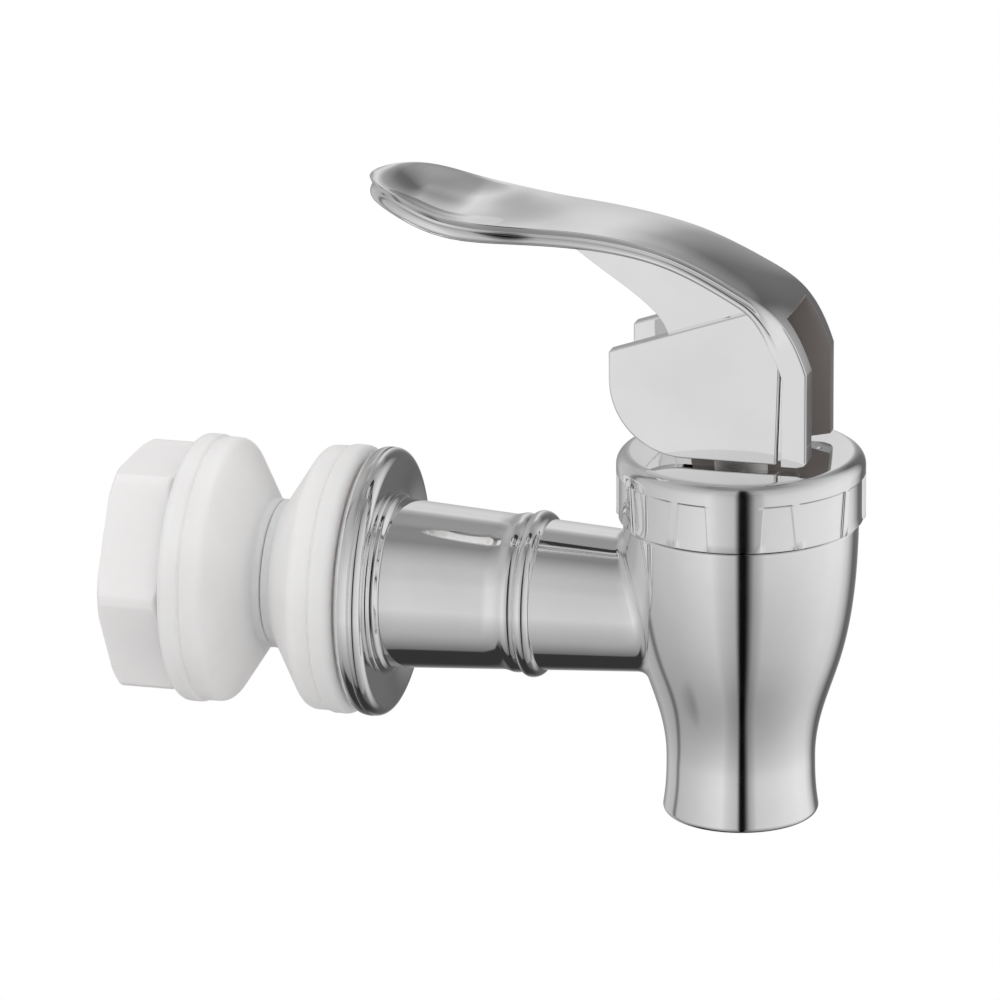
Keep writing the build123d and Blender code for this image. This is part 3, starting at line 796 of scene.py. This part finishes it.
def make_stem():
    """Stem with foot, spring collar and an eye that carries the cross pin."""
    rod = rounded([(0, -2.9, 0), (FOOT_RADIUS, -2.9, 0.5), (FOOT_RADIUS, 0.3, 0.4), (STEM_RADIUS, 0.9, 0.5),
                   (STEM_RADIUS, 7.8, 0.3), (COLLAR_RADIUS, 7.8, 0.3), (COLLAR_RADIUS, 9.0, 0.3),
                   (STEM_RADIUS, 9.0, 0.3), (STEM_RADIUS, 24.4, 0.2), (2.6, 25.4, 0)])
    eye = rounded([(0, -4.8, 0), (EYE_RADIUS, -4.8, 0.4), (EYE_RADIUS, 4.8, 0.4), (0, 4.8, 0)])
    pin = rounded([(0, -6.15, 0), (PIN_RADIUS, -6.15, 0.3), (PIN_RADIUS, 6.15, 0.3), (0, 6.15, 0)])
    return merged([
        (turned(line, axis, 72), grid_faces(len(line), 72))
        for line, axis in ((rod, "Z"), (eye, "Y"), (pin, "Y"))
    ])


def make_spring():
    """Open coil with a flattened half turn at each end."""
    bottom, top, radius, wire, turns = 9.45, 17.95, 4.7, 0.4, 4
    steps, sides = 260, 12
    points = []
    for i in range(steps + 1):
        t = i / steps
        share = min(max((t - 0.07) / 0.86, 0), 1)
        share = 0.5 * share + 0.5 * ease(0, 1, share)
        turn = 2 * pi * turns * t
        out = Vector((cos(turn), sin(turn), 0))
        centre = Vector((TAP, 0, bottom + (top - bottom) * share)) + out * radius
        for k in range(sides):
            a = 2 * pi * k / sides
            points.append(tuple(centre + out * wire * cos(a) + Vector((0, 0, wire * sin(a)))))
    faces = grid_faces(steps + 1, sides)
    faces.append(tuple(range(sides)))
    faces.append(tuple(range(len(points) - sides, len(points))))
    return points, faces


def make_cup():
    """Soft seat cup: clamped rim, sleeve, throat and closed foot."""
    line = rounded([(0, -4.95, 0), (6.6, -4.95, 0.6), (6.6, -2.3, 0.3), (6.4, -1.8, 0.3), (6.4, 4.2, 0.8),
                    (9.0, 9.2, 0.8), (9.0, 16.0, 0.3), (12.3, 16.0, 0.3), (12.3, 16.7, 0.3), (7.9, 16.7, 0.4),
                    (7.9, 9.2, 0.8), (5.3, 4.2, 0.8), (5.3, -2.95, 0.4), (0, -2.95, 0)])
    return turned(line, "Z", 96), grid_faces(len(line), 96)


add_piece("valve_stem_rod", *make_stem(), STEM_PLASTIC, "valve_stem", "white_plastic", ["stem"])
coil = add_piece("coil_spring", *make_spring(), STEEL, "tap_body", "spring_steel", ["spring"])
cup = add_piece("soft_seat_cup", *make_cup(), SILICONE, "valve_seat", "silicone", ["seat_cup"])
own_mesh(coil)
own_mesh(cup)


# Gaskets and lock nut

def make_gasket(side):
    """Cone gasket: land at the wall, cone, step and soft round rim."""
    line = rounded(
        [(GASKET_BORE, 11.0, 0), (GASKET_BORE, 0.05, 0.15), (9.2, 0.05, 0.3), (9.2, 1.1, 0.6),
         (16.33, 5.7, 1.3), (16.35, 8.04, 0.12), (16.2, 8.12, 0.06), (16.22, 8.22, 0.06), (16.58, 8.5, 0.3),
         (GASKET_RADIUS, GASKET_BACK, 1.2), (8.5, GASKET_BACK, 0.25), (GASKET_BORE, 11.0, 0)], 8)
    return turned([(r, side * x) for r, x in line], "X", 160), grid_faces(len(line), 160)


def make_nut():
    """Hexagon nut with softened corners, turned chamfers and a thread inside."""
    flats, corner, softness = 13.7, 15.62, 0.12
    near, far = -11.1, -19.1
    chamfer_start, chamfer_slope = 14.35, 2.1
    columns = 240
    points = []

    def ring(x, radius_at):
        for a in range(columns):
            turn = 2 * pi * a / columns
            r = radius_at(turn)
            points.append((x, r * cos(turn), r * sin(turn)))

    def hexagon(turn):
        off = (turn + pi / 6) % (pi / 3) - pi / 6
        side = flats / cos(pi / 6 - abs(off))
        return min(side, corner - 0.2 * (1 - min(abs(off) / 0.06, 1)) ** 2)

    def outer(x):
        edge = min(near - x, x - far)
        cone = chamfer_start + chamfer_slope * edge
        return lambda turn: -softness * np.log(
            np.exp(-(hexagon(turn) - 14) / softness) + np.exp(-(cone - 14) / softness)) + 14

    step = THREAD_PITCH / THREAD_STEPS
    count = int((near - far) / step)
    for i in range(count + 1):
        x = near - i * step

        def inner(turn, x=x):
            wave = (x / THREAD_PITCH + turn / (2 * pi)) % 1
            cut = 0.62 * (1 - ease(0.1, 0.38, abs(wave - 0.5)))
            return max(8.6 - cut, 8.7 - 1.2 * min(near - x, x - far))
        ring(x, inner)
    ring(far, lambda turn: 9.6)
    ring(far, lambda turn: 12.9)
    ring(far + 0.04, lambda turn: 13.5)
    spans = ((far + 0.12, far + 1.2, 9), (far + 1.7, near - 1.7, 10), (near - 1.2, near - 0.12, 9))
    for x in np.concatenate([np.linspace(*span) for span in spans]):
        ring(float(x), outer(float(x)))
    ring(near - 0.04, lambda turn: 13.5)
    ring(near, lambda turn: 12.9)
    ring(near, lambda turn: 9.6)
    return points, grid_faces(len(points) // columns, columns, close=True)


add_piece("flange_gasket", *make_gasket(1), SILICONE, "tap_body", "silicone", ["outer_gasket"])
add_piece("nut_gasket", *make_gasket(-1), SILICONE, "loose_gasket", "silicone", ["inner_gasket"])
add_piece("hex_lock_nut", *make_nut(), NUT_PLASTIC, "nut", "white_plastic", ["lock_nut"], sharp=50)


# Studio

CAMERA_AZIMUTH = radians(15.5)
CAMERA_ELEVATION = radians(18.0)
CAMERA_ROLL = radians(0.5)
LENS = 295.2
SENSOR = 36.0
TARGET = Vector((0.02815, 0.0, 0.01165))


def place_camera():
    """Long lens at the photo's angle, 1 m from the part."""
    data = bpy.data.cameras.new("camera")
    data.lens = LENS
    data.sensor_width = SENSOR
    data.clip_start = 0.01
    data.clip_end = 20.0
    camera = bpy.data.objects.new("camera", data)
    scene.collection.objects.link(camera)
    back = Vector((sin(CAMERA_AZIMUTH) * cos(CAMERA_ELEVATION),
                   -cos(CAMERA_AZIMUTH) * cos(CAMERA_ELEVATION), sin(CAMERA_ELEVATION)))
    right = Vector((cos(CAMERA_AZIMUTH), sin(CAMERA_AZIMUTH), 0))
    up = back.cross(right)
    turned_right = right * cos(CAMERA_ROLL) - up * sin(CAMERA_ROLL)
    turned_up = up * cos(CAMERA_ROLL) + right * sin(CAMERA_ROLL)
    camera.matrix_world = Matrix((
        (turned_right.x, turned_up.x, back.x, TARGET.x + back.x),
        (turned_right.y, turned_up.y, back.y, TARGET.y + back.y),
        (turned_right.z, turned_up.z, back.z, TARGET.z + back.z),
        (0, 0, 0, 1),
    ))
    scene.camera = camera


def add_lamp(name, place, size, power):
    """Soft area lamp that faces the part and stays out of its reflections."""
    data = bpy.data.lights.new(name, "AREA")
    data.size = size
    data.energy = power
    lamp = bpy.data.objects.new(name, data)
    scene.collection.objects.link(lamp)
    lamp.location = place
    lamp.rotation_euler = (TARGET - Vector(place)).to_track_quat("-Z", "Y").to_euler()
    lamp.visible_glossy = False


def grey(value):
    """Linear light for a grey as it shows on screen."""
    return ((value + 0.055) / 1.055) ** 2.4


def studio_world():
    """White to the camera, plain light to the part, and soft cards and gaps for the chrome to mirror."""
    world = bpy.data.worlds.new("studio")
    scene.world = world
    world.use_nodes = True
    tree = world.node_tree
    nodes, links = tree.nodes, tree.links
    nodes.clear()
    place = nodes.new("ShaderNodeTexCoord").outputs["Generated"]

    def dot(direction):
        node = nodes.new("ShaderNodeVectorMath")
        node.operation = "DOT_PRODUCT"
        node.inputs[1].default_value = direction
        links.new(place, node.inputs[0])
        return node.outputs["Value"]

    def maths(operation, a, b=None, c=None):
        node = nodes.new("ShaderNodeMath")
        node.operation = operation
        for socket, value in zip(node.inputs, (a, b, c)):
            if value is None:
                continue
            if isinstance(value, (int, float)):
                socket.default_value = value
            else:
                links.new(value, socket)
        return node.outputs["Value"]

    def mix(share, a, b, blend="MIX"):
        node = nodes.new("ShaderNodeMix")
        node.data_type = "RGBA"
        node.blend_type = blend
        factor = node.inputs[0]
        if isinstance(share, (int, float)):
            factor.default_value = share
        else:
            links.new(share, factor)
        links.new(a, node.inputs[6])
        links.new(b, node.inputs[7])
        return node.outputs[2]

    toward = (sin(CAMERA_AZIMUTH), -cos(CAMERA_AZIMUTH), 0)
    side = (cos(CAMERA_AZIMUTH), sin(CAMERA_AZIMUTH), 0)
    azimuth = maths("ARCTAN2", dot(side), dot(toward))
    around = maths("MULTIPLY_ADD", azimuth, 0.5 / pi, 0.5)
    rise = maths("MULTIPLY_ADD", maths("ARCSINE", dot((0, 0, 1))), 1 / pi, 0.5)

    def heights(stops):
        return ramp(tree, rise, [((e + 90) / 180, grey(v)) for e, v in stops])

    def fade(stops):
        return ramp(tree, rise, [((e + 90) / 180, v) for e, v in stops])

    def turns(stops):
        return ramp(tree, around, [((a + 180) / 360, v ** 2.3) for a, v in stops])

    front = heights([(-90, 0.20), (-84, 0.21), (-80, 0.48), (-73, 0.56), (-63, 0.65), (-45, 0.76), (-29, 0.85),
                     (-18, 0.92), (0, 0.91), (18, 0.89), (44, 0.78), (60, 0.67), (75, 0.52), (90, 0.57)])
    behind = heights([(-90, 0.20), (-60, 0.26), (-40, 0.55), (-25, 0.80), (0, 0.84), (20, 0.92), (38, 0.92),
                      (45, 0.74), (52, 0.63), (62, 0.60), (76, 0.60), (90, 0.57)])
    shade = turns([(-180, 0.90), (-176, 0.76), (-168, 0.70), (-158, 0.74), (-146, 0.84), (-124, 0.81),
                   (-118, 0.55), (-115, 0.55), (-110, 0.81), (-74, 0.87), (-50, 0.93), (-31, 0.97), (-23, 0.90),
                   (-8, 0.82), (8, 0.82), (22, 0.90), (60, 0.95), (97, 1.0), (116, 0.99), (128, 0.88),
                   (144, 0.45), (150, 0.48), (157, 0.50), (168, 0.70), (175, 0.96), (180, 0.90)])
    gap = turns([(-180, 1.0), (-8, 1.0), (-3.5, 0.16), (2.5, 0.12), (5, 0.36), (11, 0.86), (22, 1.0),
                 (180, 1.0)])
    back_share = turns([(-180, 1), (-172, 1), (-150, 0), (148, 0), (170, 1), (180, 1)])
    level = fade([(-90, 1), (30, 1), (62, 0), (90, 0)])
    low = fade([(-90, 1), (60, 1), (86, 0), (90, 0)])
    cards = mix(back_share, front, behind)
    cards = mix(level, cards, mix(1.0, cards, shade, "MULTIPLY"))
    cards = mix(low, cards, mix(1.0, cards, gap, "MULTIPLY"))
    under = turns([(-180, 1), (-82, 1), (-72, 0), (90, 0), (105, 0.85), (180, 0.85)])
    deep = fade([(-90, 1), (-58, 1), (-44, 0), (90, 0)])
    cards = mix(maths("MULTIPLY", under, deep), cards, heights([(-90, 0.21), (90, 0.21)]))

    path = nodes.new("ShaderNodeLightPath")

    def emit(colour, strength=1.0):
        node = nodes.new("ShaderNodeBackground")
        node.inputs["Strength"].default_value = strength
        if isinstance(colour, float):
            node.inputs["Color"].default_value = (colour, colour, colour, 1)
        else:
            links.new(colour, node.inputs["Color"])
        return node.outputs["Background"]

    def choose(share, a, b):
        node = nodes.new("ShaderNodeMixShader")
        links.new(share, node.inputs[0])
        links.new(a, node.inputs[1])
        links.new(b, node.inputs[2])
        return node.outputs["Shader"]

    light = choose(path.outputs["Is Glossy Ray"], emit(0.68), emit(cards))
    light = choose(path.outputs["Is Transmission Ray"], light, emit(0.9))
    light = choose(path.outputs["Is Camera Ray"], light, emit(1.0))
    out = nodes.new("ShaderNodeOutputWorld")
    links.new(light, out.inputs["Surface"])


def add_floor():
    """Plain pale floor well below the part, white to the camera."""
    points = [(30 + 420 * cos(2 * pi * k / 96), 420 * sin(2 * pi * k / 96), -160.0) for k in range(96)]
    mesh = bpy.data.meshes.new("floor")
    mesh.from_pydata([[c * MM for c in p] for p in points], [], [tuple(range(96))])
    floor = bpy.data.objects.new("floor", mesh)
    scene.collection.objects.link(floor)
    mat, tree, shader, place = material("pale_floor")
    tint = ramp(tree, noise(tree, place, 8), [(0.3, 0.80), (0.7, 0.84)])
    tree.links.new(tint, shader.inputs["Base Color"])
    shader.inputs["Roughness"].default_value = 0.9
    path = tree.nodes.new("ShaderNodeLightPath")
    glow = tree.nodes.new("ShaderNodeEmission")
    glow.inputs["Strength"].default_value = 1.0
    choose = tree.nodes.new("ShaderNodeMixShader")
    tree.links.new(path.outputs["Is Camera Ray"], choose.inputs[0])
    tree.links.new(shader.outputs["BSDF"], choose.inputs[1])
    tree.links.new(glow.outputs["Emission"], choose.inputs[2])
    tree.links.new(choose.outputs["Shader"], tree.nodes["Material Output"].inputs["Surface"])
    mesh.materials.append(mat)
    floor.visible_glossy = False


place_camera()
add_lamp("key", (-0.35, -0.75, 0.85), 0.7, 3.3)
add_lamp("fill", (0.85, -0.45, 0.35), 0.8, 1.0)
add_lamp("top", (0.0, 0.25, 1.0), 0.9, 2.0)
studio_world()
add_floor()
scene.view_settings.view_transform = "Standard"

bpy.context.view_layer.update()
